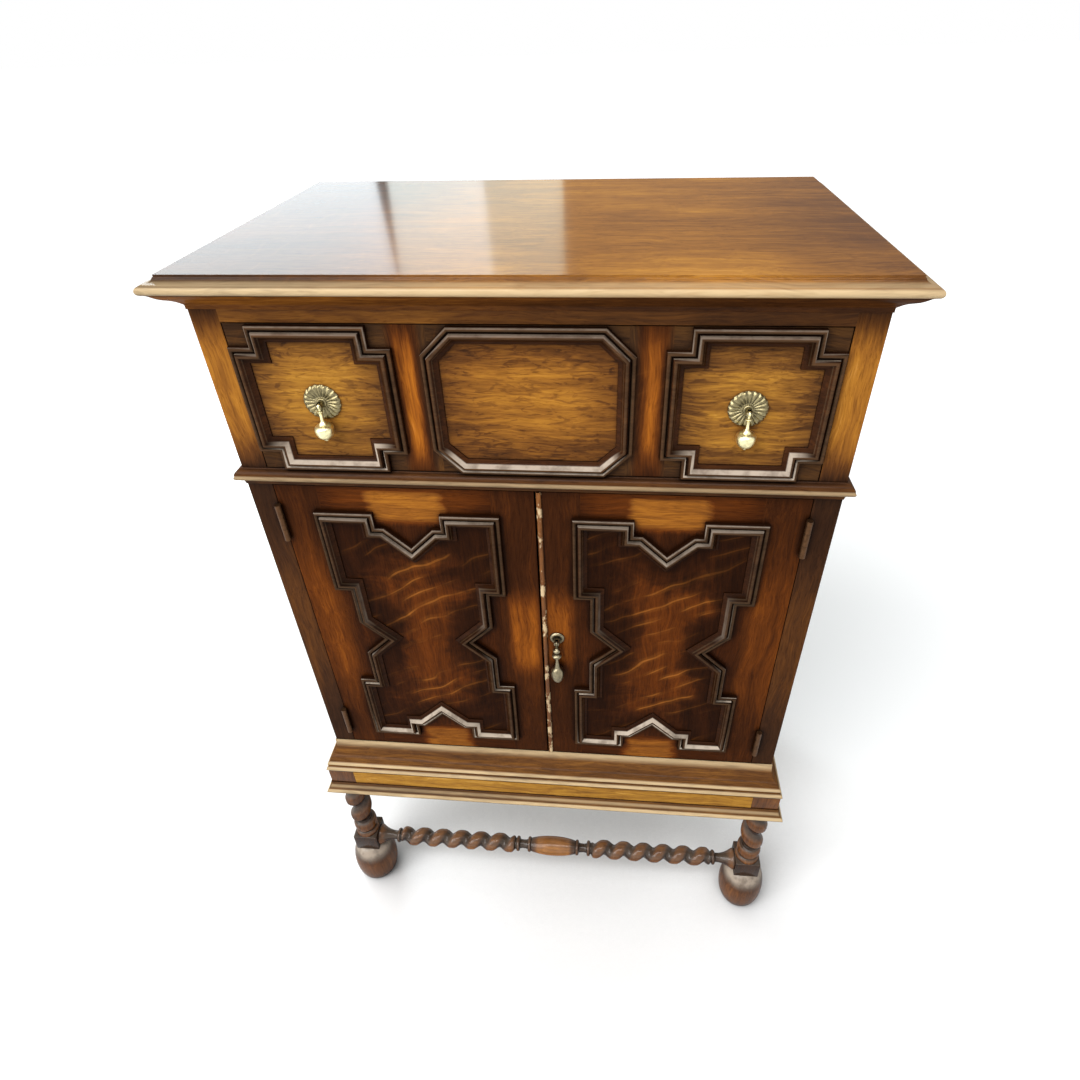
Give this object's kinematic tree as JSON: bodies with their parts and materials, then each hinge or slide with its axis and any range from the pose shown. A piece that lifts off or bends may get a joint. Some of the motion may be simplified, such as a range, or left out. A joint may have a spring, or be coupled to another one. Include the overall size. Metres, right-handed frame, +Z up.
{
  "type": "side cabinet",
  "caption": "Oak side cabinet with a deep drawer over two doors, mitred geometric mouldings and a low stand with twist-turned front legs and stretcher.",
  "frame": {"origin": "floor level, below the middle of the whole cabinet", "axes": "+Z up, +X to the right seen from the front, the front faces -Y"},
  "size_m": [0.709, 0.4325, 1.07],
  "materials": {
    "oak": "polished, shaded from golden brown to near black",
    "dark_oak": "polished, ridges rubbed pale",
    "gold_oak": "polished",
    "inner_oak": "dry, unpolished",
    "brass": "antique, toned"
  },
  "bodies": {
    "carcass": {"top_board": "oak", "bed_moulding": "dark_oak", "left_front_post": "oak", "right_front_post": "oak", "left_back_post": "oak", "right_back_post": "oak", "side_rails": "oak", "side_panels": "oak", "back_panel": "inner_oak", "frieze_rail": "oak", "back_top_rail": "inner_oak", "waist_rail": "oak", "bottom_rail": "oak", "drawer_runners": "inner_oak", "drawer_kickers": "inner_oak", "drawer_stops": "inner_oak", "bottom_board": "inner_oak", "shelf": "inner_oak", "shelf_bearers": "inner_oak", "door_stop": "inner_oak", "waist_moulding": "dark_oak", "plinth_front": "gold_oak", "plinth_sides": "gold_oak", "plinth_back": "inner_oak", "plinth_cap_moulding": "dark_oak", "plinth_base_moulding": "dark_oak", "left_front_leg": "oak", "right_front_leg": "oak", "left_back_leg": "oak", "right_back_leg": "oak", "front_stretcher": "oak", "post_hinge_leaves": "brass", "hinge_pins": "brass"},
    "drawer": {"drawer_front": "oak", "drawer_sides": "inner_oak", "drawer_back": "inner_oak", "drawer_bottom": "inner_oak", "left_drawer_moulding": "dark_oak", "centre_drawer_moulding": "dark_oak", "right_drawer_moulding": "dark_oak", "left_handle_plate": "brass", "right_handle_plate": "brass"},
    "left_drop": {"left_drop": "brass"},
    "right_drop": {"right_drop": "brass"},
    "left_door": {"left_door_stiles": "oak", "left_door_rails": "oak", "left_door_panel": "oak", "left_door_moulding": "dark_oak", "left_door_hinge_leaves": "brass", "left_door_bolt_case": "brass"},
    "left_bolt": {"left_door_bolt": "brass"},
    "right_door": {"right_door_stiles": "oak", "right_door_rails": "oak", "right_door_panel": "oak", "right_door_moulding": "dark_oak", "right_door_hinge_leaves": "brass", "right_door_bead": "inner_oak", "door_handle_plate": "brass"},
    "door_drop": {"door_drop": "brass"}
  },
  "joints": [
    {"name": "drawer_slide", "type": "slide", "parent": "carcass", "child": "drawer", "axis": [0, -1, 0], "range_m": [0, 0.28]},
    {"name": "left_door_hinge", "type": "hinge", "parent": "carcass", "child": "left_door", "pos_m": [-0.2915, -0.18555, 0.6035], "axis": [0, 0, -1], "range_deg": [0, 105]},
    {"name": "right_door_hinge", "type": "hinge", "parent": "carcass", "child": "right_door", "pos_m": [0.2915, -0.18555, 0.6035], "axis": [0, 0, 1], "range_deg": [0, 105]},
    {"name": "left_drop_swing", "type": "hinge", "parent": "drawer", "child": "left_drop", "pos_m": [-0.21, -0.19325, 0.939], "axis": [-1, 0, 0], "range_deg": [0, 60]},
    {"name": "right_drop_swing", "type": "hinge", "parent": "drawer", "child": "right_drop", "pos_m": [0.21, -0.19325, 0.939], "axis": [-1, 0, 0], "range_deg": [0, 60]},
    {"name": "door_drop_swing", "type": "hinge", "parent": "right_door", "child": "door_drop", "pos_m": [0.019, -0.19115, 0.611], "axis": [-1, 0, 0], "range_deg": [0, 60]},
    {"name": "left_bolt_slide", "type": "slide", "parent": "left_door", "child": "left_bolt", "axis": [0, 0, 1], "range_m": [0, 0.009]}
  ]
}
